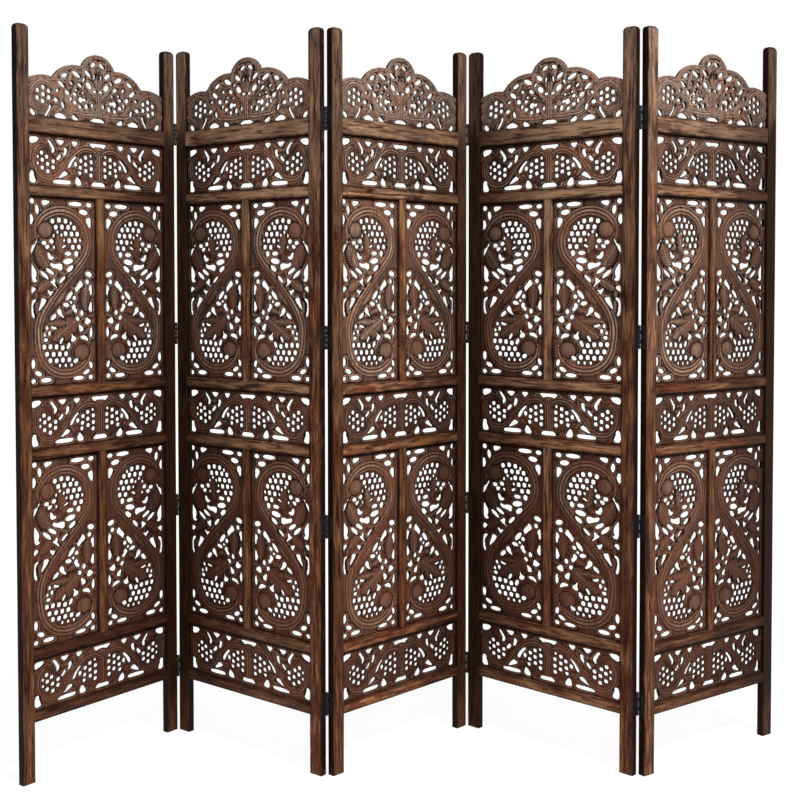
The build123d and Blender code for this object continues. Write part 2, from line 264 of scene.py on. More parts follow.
class Carving:
    """One board's openings and relief on a grid of its own millimetres."""

    def __init__(self, width, foot, top, crown, shift=(0, 0), rise=1.0, rail_shadow_reach=RAIL_SHADOW_REACH):
        self.crown, self.shift, self.rise, self.rail_shadow_reach = crown, shift, rise, rail_shadow_reach
        half = width / 2 + BOARD_LAP
        columns = int(round(2 * half / GRID_STEP))
        rows = int(round((top - foot) / GRID_STEP))
        self.x, self.y = np.meshgrid(np.linspace(-half, half, columns + 1), np.linspace(foot, top, rows + 1))
        self.wood = np.full(self.x.shape, SOLID_DEPTH)  # distance into the wood
        self.over = np.zeros(self.x.shape, bool)  # covered by a raised form
        self.raised = np.zeros(self.x.shape)
        self.shade = np.zeros(self.x.shape)
        self.sunk = np.zeros(self.x.shape)

    def drawn(self, points):
        """The drawing's points on this board."""
        return np.asarray(points, float) * (1, self.rise) + self.shift

    def near(self, points, margin):
        """The part of the grid round some points."""
        low, high = np.min(points, axis=0) - margin, np.max(points, axis=0) + margin
        rows = (self.y[:, 0] > low[1]) & (self.y[:, 0] < high[1])
        columns = (self.x[0] > low[0]) & (self.x[0] < high[0])
        return np.ix_(rows, columns)

    def open(self, part, depth):
        """Cut away where depth is above zero."""
        self.wood[part] = np.minimum(self.wood[part], -depth)

    def put(self, part, on, raised, shade):
        """Carve a form over what is there."""
        self.raised[part] = np.where(on, raised, self.raised[part])
        self.shade[part] = np.where(on, shade, self.shade[part])
        self.over[part] |= on

    def in_oval(self, x0, y0, length, width, tilt, reach):
        """The grid round a tilted oval, and each point's place in its half lengths and half widths."""
        part = self.near([(x0 - reach, y0 - reach), (x0 + reach, y0 + reach)], OPENING_MARGIN)
        c, s = math.cos(math.radians(tilt)), math.sin(math.radians(tilt))
        x, y = self.x[part] - x0, self.y[part] - y0
        return part, (x * c + y * s) / (length / 2), (y * c - x * s) / (width / 2)

    def cut(self, outline):
        path = rounded_outline(self.drawn(outline))
        part = self.near(path, OPENING_MARGIN)
        self.open(part, depth_inside(self.x[part], self.y[part], path) + OPENING_GROWTH)

    def cut_oval(self, x0, y0, length, width, tilt=0.0):
        x0, y0 = self.drawn((x0, y0))
        part, long_way, across = self.in_oval(x0, y0, length, width, tilt, max(length, width))
        radius = np.maximum(np.hypot(long_way, across), LEAST)
        slope = np.hypot(long_way / (length / 2), across / (width / 2)) / radius
        self.open(part, (1 - radius) / np.maximum(slope, LEAST) + OPENING_GROWTH)

    def cut_hole(self, centre, wide, tall):
        """One hole of a lattice, squarish, in ground that is carved down round it."""
        centre = self.drawn(centre)
        part = self.near([centre - HOLE_REACH, centre + HOLE_REACH], 0)
        x, y = np.abs(self.x[part] - centre[0]), np.abs(self.y[part] - centre[1])
        power = HOLE_SQUARENESS
        radius = ((2 * x / wide) ** power + (2 * y / tall) ** power) ** (1 / power)
        self.open(part, (1 - radius) * min(wide, tall) / 2)
        sunk = np.clip((SINK_RADIUS - np.hypot(x, y)) / SINK_SLOPE, 0, 1)
        self.sunk[part] = np.maximum(self.sunk[part], sunk)

    def ribbon(self, path, width):
        """A raised band of three rounded beads."""
        path = smooth_path(self.drawn(path))
        half = width / 2
        part = self.near(path, width)
        gap = distance_to_path(self.x[part], self.y[part], path)
        place = np.clip(gap / half, 0, 1)
        groove = hump(place, 0.38, 1.6 / half)  # on each side of the middle bead
        raised = self.crown * (1 - place**4) - 2.0 * groove
        # painted shade in the grooves and down the ribbon's sides
        self.put(part, gap < half, raised, 0.42 - 0.62 * groove - 0.64 * place**6)

    def leaf(self, base, tip, width):
        """A dished leaf from base to tip with a mid rib and slanting side veins."""
        base, tip = self.drawn((base, tip))
        length = np.hypot(*(tip - base))
        run = (tip - base) / length
        veins = max(3, round(length / VEIN_SPACING))
        part = self.near([base, tip], width)
        x, y = self.x[part] - base[0], self.y[part] - base[1]
        t = (x * run[0] + y * run[1]) / length
        side = np.abs(y * run[0] - x * run[1])
        edge = width / 2 * np.sin(math.pi * np.clip(t, 0, 1) ** 0.8) ** 0.75
        on = (t > 0) & (t < 1) & (side < edge)
        place = side / np.maximum(edge, LEAST)
        vein = 0.5 + 0.5 * np.cos(2 * math.pi * (t * veins - side / 9.0))
        rib = hump(side, 0, 1.8)
        dish = LEAF_CROWN * (0.25 + 0.75 * place**2) * (1 - place**8)
        # painted shade towards the leaf's edges; the veins and the rib are lighter
        shade = 0.40 * vein * (1 - place**4) - 0.02 + 0.18 * rib - 0.34 * place**6
        self.put(part, on, dish + 0.7 * vein + 1.2 * rib - 0.5, shade)

    def knob(self, x0, y0, length, width, tilt):
        """The round end of a scroll: a smooth dome with a groove at its foot."""
        x0, y0 = self.drawn((x0, y0))
        part, long_way, across = self.in_oval(x0, y0, length, width, tilt, max(length, width) / 2)
        place = np.hypot(long_way, across)
        inner = np.clip(place, 0, 1)
        groove = hump(place, 0.93, 0.07)
        raised = KNOB_CROWN * (1 - inner**2.4) - 1.0 * groove
        # painted shade towards the dome's foot and in its groove
        self.put(part, place < 1, raised, 0.28 - 0.14 * inner**2 - 0.4 * groove)

    def edge(self, curve, foot, width):
        """Trim to a curve that stands on a foot, with a grooved rim along the curve."""
        depth = depth_inside(self.x, self.y, np.vstack([curve, foot]))
        self.wood = np.minimum(self.wood, depth)
        gap = distance_to_path(self.x, self.y, curve)
        groove = hump(gap, width * 0.5, 1.4)
        # painted shade in the rim's groove and at its inner edge
        shade = 0.42 - 0.60 * groove - 0.55 * np.clip(gap / width, 0, 1) ** 8
        self.put(..., gap < width, self.crown - 1.3 * groove, shade)

    def mirror(self):
        """Give the right half the left half's work."""
        half = self.x.shape[1] // 2
        for grid in (self.wood, self.over, self.raised, self.shade, self.sunk):
            grid[:, -half:] = grid[:, :half][:, ::-1]

    def surface(self):
        """Height above the board's face, and tone.

        Each opening has a thin rim darkened by painted shadow, a lighter lip and a line cut round it,
        darkened by painted shade; painted shadow also lies along the frame.
        """
        eased = 1 - (1 - np.clip(self.wood / RIM_FADE, 0, 1)) ** 2
        lip = hump(self.wood, LIP_PLACE, LIP_WIDTH) * (1 - 0.6 * self.sunk)
        line = hump(self.wood, LINE_PLACE, LINE_WIDTH) * (1 - self.sunk)
        ground = GROUND_LEVEL + (LATTICE_LEVEL - GROUND_LEVEL) * self.sunk - 0.7 * line
        body = RIM_LEVEL + (ground - RIM_LEVEL) * eased
        top = RAISED_RIM_LEVEL + (self.raised - RAISED_RIM_LEVEL) * eased
        # painted shadow at the openings' rims and round the sunk lattice holes, painted shade in the cut
        # line, a lighter lip
        floor_tone = 0.38 * eased - 0.24 - 0.10 * self.sunk + 0.34 * lip - 0.42 * line
        tone = np.where(self.over, self.shade * eased - 0.25 * (1 - eased), floor_tone)
        return np.where(self.over, top, body), tone - 0.6 * self.painted_frame_shadow()

    def painted_frame_shadow(self):
        """Darkness of the painted shadow along the frame, deepest under the rail above."""
        clear = np.minimum.reduce([
            (self.x - self.x[0, 0] - BOARD_LAP) / SIDE_SHADOW_REACH,
            (self.x[0, -1] - BOARD_LAP - self.x) / SIDE_SHADOW_REACH,
            (self.y - self.y[0, 0] - BOARD_LAP) / FOOT_SHADOW_REACH,
            (self.y[-1, 0] - BOARD_LAP - self.y) / self.rail_shadow_reach,
        ])
        return (1 - np.clip(clear, 0, 1)) ** 1.5

    def solid(self):
        """Closed board as points, quads and tones: x, y and w millimetres, w from its middle plane."""
        cell = (self.wood[:-1, :-1] + self.wood[1:, :-1] + self.wood[:-1, 1:] + self.wood[1:, 1:]) > 0
        padded = np.pad(cell, 1)
        around = [padded[:-1, :-1], padded[1:, :-1], padded[:-1, 1:], padded[1:, 1:]]
        used = np.logical_or.reduce(around)
        rim = used & ~np.logical_and.reduce(around)
        rim[[0, -1]] = False
        rim[:, [0, -1]] = False
        # the points at an opening's edge slide onto the edge that was drawn
        gy, gx = np.gradient(self.wood, GRID_STEP)
        limit = 0.8 * GRID_STEP
        move = np.clip(-self.wood / np.maximum(gx**2 + gy**2, 0.25), -limit, limit) * rim
        x, y = self.x + move * gx, self.y + move * gy
        height, tone = self.surface()
        total = int(used.sum())
        index = np.full(used.shape, -1)
        index[used] = np.arange(total)
        front = np.column_stack([x[used], y[used], BOARD_THICKNESS / 2 + height[used]])
        corners = (index[:-1, :-1], index[:-1, 1:], index[1:, 1:], index[1:, :-1])
        quads = np.column_stack([corner[cell] for corner in corners])
        faces = [quads, quads[:, ::-1] + total]
        for (up, across), start, stop in (
            ((-1, 0), (0, 0), (0, 1)),
            ((1, 0), (1, 1), (1, 0)),
            ((0, -1), (1, 0), (0, 0)),
            ((0, 1), (0, 1), (1, 1)),
        ):
            neighbour = np.roll(padded, (-up, -across), (0, 1))[1:-1, 1:-1]
            row, column = np.nonzero(cell & ~neighbour)
            p = index[row + start[0], column + start[1]]
            q = index[row + stop[0], column + stop[1]]
            faces.append(np.column_stack([q, p, p + total, q + total]))
        return np.vstack([front, front * (1, 1, -1)]), np.vstack(faces), np.tile(tone[used], 2)


def carve(board, leaves, ribbons, outlines, ovals, holes, knobs=(), edge=None, mirrored=True):
    """Work a board: later forms lie over earlier ones, and the openings go through them all."""
    for leaf in leaves:
        board.leaf(*leaf)
    for ribbon in ribbons:
        board.ribbon(*ribbon)
    for knob in knobs:
        board.knob(*knob)
    if edge:
        board.edge(*edge)
    for outline in outlines:
        board.cut(outline)
    for oval in ovals:
        board.cut_oval(*oval)
    for size, centres in holes:
        for centre in centres:
            board.cut_hole(centre, *size)
    if mirrored:
        board.mirror()
    return board.solid()


# ---- the tall board: one S scroll, drawn for the right-hand side ----
TALL_SHIFT = (-17.0, -5.5)  # puts the drawing's middle on the board's
SCROLL_PATH = (
    (92, 140), (93, 164), (78, 186), (50, 200), (20, 204), (-14, 196), (-45, 172), (-59, 132), (-52, 98),
    (-27.5, 70), (2, 43), (30, 15), (55, -12), (75, -37.5), (90, -67), (95, -97.5), (87, -150), (63, -182),
    (30, -197), (-4, -198), (-36, -188), (-60, -168), (-66, -146),
)
SCROLL_WIDTH = 26.0
SCROLL_CROWN = 2.4
TALL_KNOBS = ((71, 155, 50, 44, -12), (-38, -147, 54, 46, -12))
TALL_OUTLINES = (
    ((-75, 192), (-53, 186), (-72.5, 157.5)),
    ((48, 226), (81, 227.5), (74, 212)),
    ((40, 89), (50, 91), (55, 100), (62.5, 104), (64, 92.5), (57.5, 82.5), (45, 84.5)),
    ((16, 72.5), (30, 74), (40, 71), (52.5, 76), (56, 72.5), (50, 65), (32.5, 61), (22.5, 56), (16, 61)),
    ((31, 14), (40, 24), (37.5, 34), (42.5, 37.5), (50, 31), (57, 29), (50, 24), (42.5, 20), (36, 12.5)),
    ((41, 6), (52.5, 4), (62.5, 11), (64, 7.5), (57.5, -5), (52.5, -5), (46, 1)),
    ((62.5, -14), (81, -11), (82.5, -20), (92.5, -42.5), (87.5, -42.5), (72.5, -29)),
    ((89, 132.5), (94, 132.5), (100, 120), (110, 115), (112, 95), (105, 102.5), (100, 112)),
    ((110, 75), (102.5, 65), (95, 55), (95, 42.5), (99, 37.5), (90, 30), (110, 27.5)),
    ((94, 12.5), (110, 17.5), (112, 2.5), (105, 2.5)),
    ((95, -12.5), (111, -15), (112, -55), (99, -60), (104, -45), (106, -27.5), (97.5, -17.5)),
    ((-49, 20), (-44, 30), (-37.5, 32.5), (-32.5, 25), (-20, 14), (-21, 7.5), (-26, 2.5), (-37.5, 12.5)),
    ((-75, 22.5), (-69, 20), (-62.5, 12.5), (-67.5, 5), (-69, -6), (-76, -4)),
    ((-75, -19), (-70, -20), (-62.5, -37.5), (-69, -46), (-75.5, -47.5)),
    ((-24, -30), (-16, -26), (-9, -36), (-17.5, -45), (-27.5, -49), (-29, -41), (-22.5, -37.5)),
    ((26, -36), (34, -40), (35, -47.5), (26, -54), (17.5, -59), (10, -60), (19, -51), (20, -42.5)),
    ((-75, -70), (-60, -60), (-52.5, -62.5), (-51, -75), (-60, -78)),
    ((-47.5, -94), (-49, -87.5), (-39, -79), (-31, -77.5), (-34, -87.5), (-35, -95)),
    ((30, -85), (42.5, -82.5), (54, -77.5), (52.5, -85), (42.5, -88)),
    ((-64, -121), (-60, -110), (-50, -105), (-36, -107.5), (-39, -112), (-52.5, -115)),
    ((-25, -110), (-16, -106), (-11, -97.5), (-7.5, -100), (-10, -107.5), (-6, -117.5), (-16, -120),
     (-24, -115)),
)
TALL_OVALS = (
    (-67.5, 221.75, 18, 10), (-25, 222.5, 43, 10), (-50, 203, 28, 12, 5), (92, 204, 22, 12, 80),
    (107, 224, 14, 12), (110, 180, 24, 14, 90), (12, 116, 15, 6, -20), (-27, 99, 14, 14), (-1, 99, 22, 9),
    (-1, 80, 32, 13, -8), (-7.5, 62, 26, 12, -30), (49, 128, 15, 10), (72, 124, 15, 9), (42, 114, 9, 8),
    (62, 114, 15, 9, -15), (55, 54.5, 29, 9, 28), (71, 45, 32, 9.5, 37), (17, 34.5, 27, 10, -38),
    (-65.5, 48, 22, 12, 12), (-61, 29, 12, 11), (-4, -6, 28, 11, -45), (-19.5, -11, 12, 10),
    (-9, -22, 8, 7), (6, -28, 20, 9, 8), (-43, -49, 12, 12), (45, -57.5, 21, 10, -38),
    (-29, -63, 13, 10, 25), (65, -84, 9, 9), (58, -97, 9, 11), (72, -101, 8, 8), (69, -113, 13, 8),
    (-71.5, -98.5, 24, 10, 90), (21.5, -116, 18, 9, -50), (0, -130, 17, 10, -55), (-23, -167, 17, 10, -20),
    (-70, -180, 18, 11, 65), (-56, -197, 22, 10, -20), (-70, -211, 14, 10), (-31, -211, 33, 9),
    (69, -211, 33, 10), (92, -194, 22, 10, 20), (107, -170, 22, 12, 90), (107, -212, 14, 10),
)
TALL_HOLE = (13.4, 12.2)
TALL_LATTICE = (
    (6, 179), (26, 181), (46, 177.5), (-20.5, 163), (-2, 164), (17, 164), (36, 163), (-30, 148),
    (-12.5, 147.5), (6, 148), (-23.5, 132), (-5, 131), (-35.5, 116), (-16, 115), (18, -134), (37, -131),
    (55.5, -130), (74, -130), (8, -149), (27, -149), (46, -149), (66, -148), (-2, -164), (18, -164),
    (37, -165), (56, -164),
)
TALL_SMALL_HOLE = (8.5, 8.5)
TALL_SMALL = (
    (31, 151), (42, 142), (-10, 174.5), (19, 144), (-39, 132.5), (11, 131), (-9, -177.5), (9, -178),
    (27, -177.5),
)
TALL_LEAVES = (
    ((20, 98), (34, 148), 42), ((62, 60), (104, 124), 50), ((50, 36), (108, 0), 34),
    ((-24, -66), (54, -116), 66), ((-52, 22), (-50, -46), 40), ((8, 44), (44, 62), 16),
    ((-16, -40), (14, -50), 20), ((12, 4), (44, -30), 24), ((-80, -54), (-36, -66), 18),
    ((6, -72), (66, -74), 24), ((-66, -84), (-40, -106), 18), ((34, 116), (66, 102), 16),
    ((96, -62), (104, 40), 16), ((-36, 12), (-4, 14), 14),
)
tall_reach = TALL_OPENING / 2 + BOARD_LAP
tall_board = carve(
    Carving(TALL_WIDTH, -tall_reach, tall_reach, SCROLL_CROWN, shift=TALL_SHIFT),
    TALL_LEAVES, ((SCROLL_PATH, SCROLL_WIDTH),), TALL_OUTLINES, TALL_OVALS,
    ((TALL_HOLE, TALL_LATTICE), (TALL_SMALL_HOLE, TALL_SMALL)), knobs=TALL_KNOBS, mirrored=False,
)

# ---- the band: a vine mirrored about its middle, drawn for the left half ----
VINE_CROWN = 1.9
BAND_OUTLINES = (
    ((-212, 54), (-183, 54), (-185.5, 45), (-200.5, 38.5), (-212, 37)),
    ((-159, 50), (-150, 48.5), (-139, 36), (-134, 26), (-140.5, 18.5), (-148, 20), (-145.5, 28.5),
     (-150.5, 38.5)),
    ((-135, 52), (-104, 52), (-113, 41), (-122, 41)),
    ((-86, 52), (-61, 52), (-72, 40), (-79, 42)),
    ((-109, 34), (-97, 34), (-99, 21), (-107, 13), (-111, 16), (-108.5, 25)),
    ((-73, 17), (-67, 15), (-80.5, 2), (-87, -11.5), (-94, -15), (-98.5, -11.5), (-93, -1.5), (-84, 8.5)),
    ((-105.5, -21.5), (-94, -28), (-98, -31.5), (-123, -41.5), (-127, -41), (-115.5, -28)),
    ((-141, -46), (-85, -45), (-87, -55), (-145, -55)),
    ((-72, -35), (-62, -35), (-50, -55), (-75, -55)),
    ((-213, -28), (-198, -28), (-197, -41.5), (-191, -56), (-213, -57)),
    ((-30, 52), (6, 52), (6, 44), (-9, 45), (-16, 41), (-22, 44)),
    ((-18, -45), (6, -45), (6, -55), (-25, -55)),
)
BAND_OVALS = ((-124, 9.5, 18, 9, 40), (-72, -3.5, 11, 11))
BAND_HOLE = (12.0, 10.0)
BAND_HOLES = (
    (-175.5, 17), (-160.5, 8.5), (-173.5, 0), (-140.5, -1.5), (-157.5, -9), (-174, -19), (-141, -16),
    (-157, -26.5), (-40, 15), (-55, 6), (-22, 5), (-40, -2), (-57, -11), (-22, -12), (-39, -18), (-59, -25),
    (-23, -28),
)
BAND_SMALL_HOLE = (8.0, 8.0)
BAND_SMALL = ((-187, 7), (-187, -9), (-24, 20.5))
BAND_RIBBONS = (
    (((-176, 38), (-196, 28), (-205, 4), (-199, -22), (-180, -42), (-152, -46), (-128, -36), (-112, -14),
     (-96, 4), (-78, 20), (-56, 34), (-30, 36), (-10, 28)), 19.0),
    (((-178, 36), (-160, 30), (-150, 20)), 12.0),
    (((-86, -36), (-66, -32), (-46, -36), (-28, -46)), 12.0),
    (((0, -44), (0, 24)), 20.0),
)
BAND_LEAVES = (
    ((-180, 30), (-156, 48), 14), ((-130, 30), (-112, 36), 10), ((-96, 12), (-112, -8), 14),
    ((-92, 30), (-92, 50), 10), ((-78, -20), (-100, -40), 13), ((-10, 24), (0, 44), 12),
    ((-46, -44), (-34, -58), 10), ((-152, 30), (-126, 8), 20), ((-122, 26), (-92, 48), 20),
    ((-112, -2), (-82, -34), 22), ((-44, -34), (-14, -48), 14), ((-216, 26), (-196, 48), 14),
    ((-214, -46), (-206, -16), 14), ((-60, 30), (-30, 56), 16),
)
band_reach = BAND_OPENING / 2 + BOARD_LAP
band_board = carve(
    Carving(INNER_WIDTH, -band_reach, band_reach, VINE_CROWN),
    BAND_LEAVES, BAND_RIBBONS, BAND_OUTLINES, BAND_OVALS,
    ((BAND_HOLE, BAND_HOLES), (BAND_SMALL_HOLE, BAND_SMALL)),
)

# ---- the crest: five lobes over two paisleys, drawn for the left half ----
CREST_LOBES = (
    ((-226, 82), (-166, 101), (-144, 99)),
    ((-144, 99), (-110, 127), (-53, 136)),
    ((-53, 136), (-34, 160), (0, 170)),
)
LOBE_STEPS = 13
CREST_TOP = 173.0
CREST_FOOT = ((226, -BOARD_LAP - 0.01), (-226, -BOARD_LAP - 0.01))
CREST_RISE = 1.03  # the drawing below is drawn up by this to fill the lobes
CREST_OUTLINES = (
    ((-26, 2), (6, 2), (6, 10), (-14, 10.5)),
    ((-83, 13), (-72, 12), (-59, 1), (-81, 1)),
    ((-120, 16), (-91, 1), (-142, 1)),
    ((-153, 29.5), (-144.5, 29.5), (-147, 21), (-156, 7), (-161, 1), (-165, 2), (-159.5, 13), (-154, 21)),
)
CREST_OVALS = (
    (-201, 7, 18, 11, -45), (-110, 33, 18, 10, 110), (-131, 43, 15, 10), (-114.5, 82, 24, 10, -28),
    (-104.5, 104.5, 20, 9, 20), (-67, 111, 28, 10, -22), (-57, 86, 15, 9, -20), (-31, 117, 22, 10, -30),
    (-14.5, 140, 18, 9, 25), (-28, 88, 20, 13, -35), (-9.5, 76, 12, 6), (-96, 64.5, 14, 11, -25),
    (-73, 63, 12, 8), (-68, 73, 8, 6), (-47, 69, 8, 6), (-54.5, 51, 15, 14), (-37, 37, 12, 12),
    (-56, 34, 10, 9), (-72.5, 43, 12, 8), (-18, 41, 8, 10), (-44, 101, 13, 7, 55), (-84, 88, 13, 7, -30),
    (-127, 66, 12, 7, 30), (-11, 111, 16, 7, 80), (-86, 50, 12, 7, 60), (-42, 52, 8, 8),
)
CREST_HOLE = (11.6, 11.0)
CREST_HOLES = (
    (-169.5, 69), (-186, 60), (-152.5, 62), (-169.5, 52), (-152.5, 46.5), (-187, 42.5), (-171, 36),
)
CREST_RIBBONS = (
    (((-212, 58), (-190, 80), (-166, 84), (-142, 70), (-122, 46), (-98, 22), (-70, 18), (-40, 16),
     (-16, 18)), 19.0),
    (((-206, 28), (-186, 16), (-164, 20), (-144, 34)), 13.0),
    (((-92, 82), (-74, 90), (-54, 72), (-34, 60), (-20, 60)), 12.0),
    (((0, 14 / CREST_RISE), (0, 72 / CREST_RISE), (0, 100 / CREST_RISE)), 16.0),
)
CREST_LEAVES = (
    ((-116, 56), (-132, 96), 24), ((-98, 66), (-86, 114), 26), ((-50, 86), (-50, 128), 24),
    ((-8, 94), (-26, 152), 24), ((-84, 58), (-58, 102), 22), ((-144, 62), (-118, 32), 18),
    ((-104, 52), (-80, 26), 20), ((-64, 62), (-44, 32), 20), ((-30, 56), (-16, 22), 16),
    ((-200, 16), (-218, 40), 14), ((-136, 12), (-108, 28), 14), ((-30, 76), (-8, 60), 14),
)
RIM_WIDTH = 10.5


def crest_curve():
    """The lobes' edge from the left stile to the right one: arcs, each through three points."""
    left = []
    for lobe in CREST_LOBES:
        a, b, c = (complex(*point) for point in lobe)
        ratio = (c - a) / (b - a)
        centre = a + (b - a) * (ratio - abs(ratio) ** 2) / (ratio - ratio.conjugate())
        turn = cmath.phase((c - centre) / (a - centre)) % (2 * math.pi) - 2 * math.pi
        steps = np.exp(1j * turn * np.arange(LOBE_STEPS) / LOBE_STEPS)
        left += [(point.real, point.imag) for point in centre + (a - centre) * steps]
    left = np.array(left + [CREST_LOBES[-1][-1]])
    return np.vstack([left, left[:-1][::-1] * (-1, 1)])


crest_board = carve(
    Carving(INNER_WIDTH, -BOARD_LAP, CREST_TOP, VINE_CROWN, rise=CREST_RISE, rail_shadow_reach=OPEN_SHADOW_REACH),
    CREST_LEAVES, CREST_RIBBONS, CREST_OUTLINES, CREST_OVALS,
    ((CREST_HOLE, CREST_HOLES),), edge=(crest_curve(), CREST_FOOT, RIM_WIDTH),
)


def set_board(board, u, v, flip=False):
    """A carved board's form, its origin put at a place in a panel, mirrored where flip is set."""
    points, faces, tones = board
    if flip:
        points, faces = points * (-1, 1, 1), faces[:, ::-1]
    return points + (u, v, MIDDLE_DEPTH), faces, tones


# ---- bars ----
FLAT_INSET = 3.0  # from a rounded edge to where the flat's own tone begins
SWAY = 0.25  # how far a bar's faces wander inwards
SWAY_KNOTS = 9
EDGE_TURNS = np.linspace(0, math.pi / 2, 4)
END_TURNS = (0.0, math.pi / 6, math.pi / 3, math.pi / 2)
POST_EDGE, MUNTIN_EDGE, RAIL_EDGE = 1.3, 3.0, 3.6
POST_SPACING, BAR_SPACING = 30.0, 25.0  # from one ring of points to the next
MUNTIN_SETBACK, RAIL_SETBACK = 1.0, 0.4  # from the posts' faces
MUNTIN_TENON, RAIL_TENON = 3.0, 4.0
POST_PROUD = 1.1
EDGE_TONE, END_TONE = 0.7, 0.8
# painted shade on the faces that look to +a, +b, -a and -b: the posts' and muntins' sides and the rails'
# undersides
POST_FACE_SHADE = (2.2, 0, 2.2, 0)
MUNTIN_FACE_SHADE = (1.2, 0, 1.2, 0)
RAIL_FACE_SHADE = (0.2, 0, 1.6, 0)


def bar(length, half_a, half_b, corner, spacing, end_drop, dark, rng):
    """Rounded bar along its third axis, slightly uneven: points a, b and t, faces and tones."""
    ring, tone = [], []
    for quarter, (sign_a, sign_b) in enumerate(((1, 1), (-1, 1), (-1, -1), (1, -1))):
        centre = np.array([sign_a * (half_a - corner), sign_b * (half_b - corner)])
        turn = quarter * math.pi / 2
        facing = np.round([math.cos(turn), math.sin(turn)])
        onward = np.array([-facing[1], facing[0]])
        arc = [centre + corner * (facing * math.cos(s) + onward * math.sin(s)) for s in EDGE_TURNS]
        ring += [arc[0] - FLAT_INSET * onward, *arc, arc[-1] - FLAT_INSET * facing]
        # each face's painted shade, with darker rounded edges between
        first, last = dark[quarter], dark[(quarter + 1) % 4]
        tone += [first, max(first, EDGE_TONE), 1.0, 1.0, max(last, EDGE_TONE), last]
    profile = [(t, 0.0) for t in np.linspace(0, length, max(2, int(length / spacing)) + 1)]
    if end_drop:
        profile = [(t, 0.0) for t, _ in profile if t < length - end_drop * 1.2]
        profile += [(length - end_drop * (1 - math.sin(a)), end_drop * (1 - math.cos(a))) for a in END_TURNS]
    knots = np.linspace(0, length, SWAY_KNOTS)
    at = [t for t, _ in profile]
    drift = np.array([np.interp(at, knots, rng.uniform(-SWAY, SWAY, SWAY_KNOTS)) for _ in range(2)])
    points, tones, faces = [], [], []
    n = len(ring)
    for k, (t, shrink) in enumerate(profile):
        layer = np.array(ring) * (1 - shrink / half_a, 1 - min(shrink, half_b * 0.35) / half_b)
        layer = layer - np.sign(layer) * np.abs(drift[:, k])
        points.append(np.column_stack([layer, np.full(n, t)]))
        tones.append(np.maximum(tone, END_TONE if shrink > 0.1 * end_drop else 0))
    top = (len(profile) - 1) * n
    for k in range(0, top, n):
        faces += [(k + i, k + (i + 1) % n, k + n + (i + 1) % n, k + n + i) for i in range(n)]
    faces += [tuple(range(n))[::-1], tuple(range(top, top + n))]
    return np.vstack(points), faces, np.concatenate(tones)


def post(u, proud, rng):
    """A post; proud is how far its outer face comes round the hinge leaves that are let into it."""
    half = (STILE_WIDTH + abs(proud)) / 2
    points, faces, tones = bar(SCREEN_HEIGHT, half, FRAME_THICKNESS / 2, POST_EDGE, POST_SPACING,
                               STILE_TOP_RADIUS, POST_FACE_SHADE, rng)
    a, b, t = points.T
    return np.column_stack([u + proud / 2 + a, t, MIDDLE_DEPTH - b]), faces, tones


def muntin(level, rng):
    length = TALL_OPENING + 2 * MUNTIN_TENON
    depth = FRAME_THICKNESS / 2 - MUNTIN_SETBACK
    points, faces, tones = bar(length, MUNTIN_WIDTH / 2, depth, MUNTIN_EDGE, BAR_SPACING, 0, MUNTIN_FACE_SHADE, rng)
    a, b, t = points.T
    return np.column_stack([PANEL_WIDTH / 2 + a, level - MUNTIN_TENON + t, MIDDLE_DEPTH - b]), faces, tones


def rail(level, height, rng):
    length = INNER_WIDTH + 2 * RAIL_TENON
    depth = FRAME_THICKNESS / 2 - RAIL_SETBACK
    points, faces, tones = bar(length, height / 2, depth, RAIL_EDGE, BAR_SPACING, 0, RAIL_FACE_SHADE, rng)
    a, b, t = points.T
    u, v = STILE_WIDTH - RAIL_TENON + t, level + height / 2 + a
    return np.column_stack([u, v, MIDDLE_DEPTH + b]), faces, tones


# ---- node writing ----
class Wire:
    """A socket that takes part in arithmetic."""

    def __init__(self, graph, socket):
        self.graph, self.socket = graph, socket

    def _math(self, operation, *values):
        return self.graph.node("ShaderNodeMath", {"operation": operation}, dict(enumerate(values)))

    def __add__(self, other):
        return self._math("ADD", self, other)

    __radd__ = __add__

    def __sub__(self, other):
        return self._math("SUBTRACT", self, other)

    def __rsub__(self, other):
        return self._math("SUBTRACT", other, self)

    def __mul__(self, other):
        return self._math("MULTIPLY", self, other)

    __rmul__ = __mul__

    def __truediv__(self, other):
        return self._math("DIVIDE", self, other)

    def __pow__(self, other):
        return self._math("POWER", self, other)

    def __abs__(self):
        return self._math("ABSOLUTE", self)


class Graph:
    """Writes the nodes of one tree."""

    def __init__(self, tree):
        self.tree = tree
        tree.nodes.clear()

    def node(self, kind, settings=None, inputs=None, out=0):
        """A new node's output; its settings come first, then the values or links of its sockets."""
        made = self.tree.nodes.new(kind)
        for key, value in (settings or {}).items():
            setattr(made, key, value)
        for key, value in (inputs or {}).items():
            socket = made.inputs[key]
            if isinstance(value, Wire):
                self.tree.links.new(value.socket, socket)
            elif socket.type == "RGBA":
                socket.default_value = (*value, 1)
            else:
                socket.default_value = value
        return Wire(self, made.outputs[out]) if made.outputs else None

    def split(self, vector, axis):
        return self.node("ShaderNodeSeparateXYZ", None, {0: vector}, out=axis)

    def ray(self, kind):
        return self.node("ShaderNodeLightPath", out=f"Is {kind} Ray")

    def steps(self, value, low, high):
        """0 below low, 1 above high, smooth between."""
        smooth = {"interpolation_type": "SMOOTHSTEP"}
        return self.node("ShaderNodeMapRange", smooth, {0: value, 1: low, 2: high})


